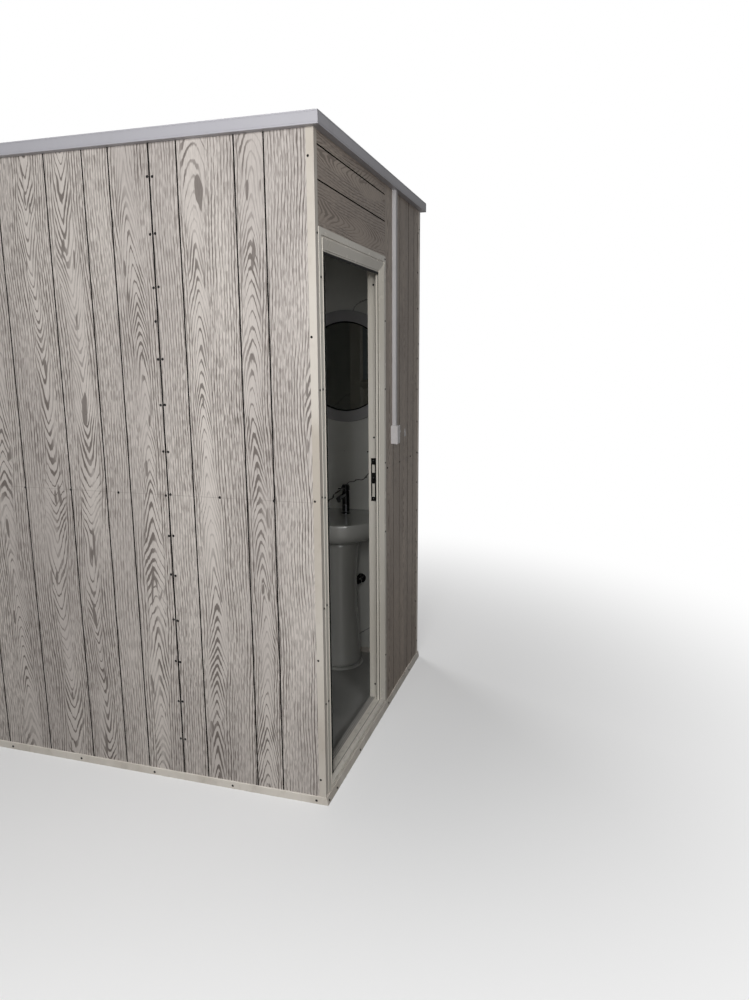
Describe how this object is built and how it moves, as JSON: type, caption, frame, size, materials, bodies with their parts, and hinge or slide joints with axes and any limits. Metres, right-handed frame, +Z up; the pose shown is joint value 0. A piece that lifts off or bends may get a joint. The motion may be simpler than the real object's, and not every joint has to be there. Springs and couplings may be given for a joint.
{
  "type": "washroom cubicle of a site cabin",
  "caption": "Insulated washroom cubicle with grooved wall boards, a hinged plastic door, a pedestal basin, a mixer tap and a round mirror.",
  "frame": {"origin": "centre of the cubicle's base, on the floor, halfway between the outer faces of the wall boards", "axes": "+Z up, -Y out of the front wall, +X out of the doorway wall"},
  "size_m": [1.855, 1.43, 2.29],
  "materials": {
    "wall_board": "matt printed oak film",
    "insulation": "expanded foam between studs",
    "pvc_lining": "satin, marble pattern",
    "plywood": "bare",
    "vinyl": "smooth grey sheet",
    "painted_sheet": "white",
    "ivory_trim": "satin ivory",
    "trunking": "satin grey",
    "white_plastic": "satin white",
    "upvc": "gloss ivory",
    "upvc_panel": "satin ivory",
    "gasket": "black",
    "hinge_steel": "ivory",
    "lock_steel": "satin",
    "black_steel": "gloss black",
    "ceramic": "gloss white",
    "chrome": "polished",
    "black_valve": "black",
    "mirror_surround": "satin grey",
    "mirror": "silvered",
    "obscured_glass": "obscured",
    "white_handle": "gloss white"
  },
  "bodies": {
    "cubicle": {"floor_board": "plywood", "floor_vinyl": "vinyl", "ceiling_panel": "painted_sheet", "ceiling_lining": "pvc_lining", "front_core": "insulation", "front_board_left": "wall_board", "front_board_right": "wall_board", "front_lining": "pvc_lining", "side_core": "insulation", "side_board": "wall_board", "side_lining": "pvc_lining", "lintel_core": "insulation", "lintel_board": "wall_board", "lintel_lining": "pvc_lining", "back_core": "insulation", "back_boards": "wall_board", "back_lining": "pvc_lining", "left_core": "insulation", "left_boards": "wall_board", "left_lining": "pvc_lining", "corner_trims": "ivory_trim", "skirting": "ivory_trim", "cornice": "trunking", "inner_skirting": "ivory_trim", "switch_trunking": "trunking", "switch_box": "white_plastic", "frame_jamb_hinge": "upvc", "frame_jamb_lock": "upvc", "frame_head": "upvc", "frame_sill": "upvc", "frame_gasket": "gasket", "frame_hinges": "hinge_steel", "strike_plate": "black_steel", "basin": "ceramic", "pedestal": "ceramic", "tap": "chrome", "angle_valve": "black_valve", "mirror_frame": "mirror_surround", "mirror_glass": "mirror"},
    "door": {"leaf_frame": "upvc", "leaf_glass": "obscured_glass", "leaf_panels": "upvc_panel", "leaf_hinges": "hinge_steel", "door_handles": "white_handle", "lock_faceplate": "lock_steel"}
  },
  "joints": [
    {"name": "door_swing", "type": "hinge", "parent": "cubicle", "child": "door", "pos_m": [0.824, -0.617, 1], "axis": [0, 0, 1], "range_deg": [-84, 0]}
  ]
}
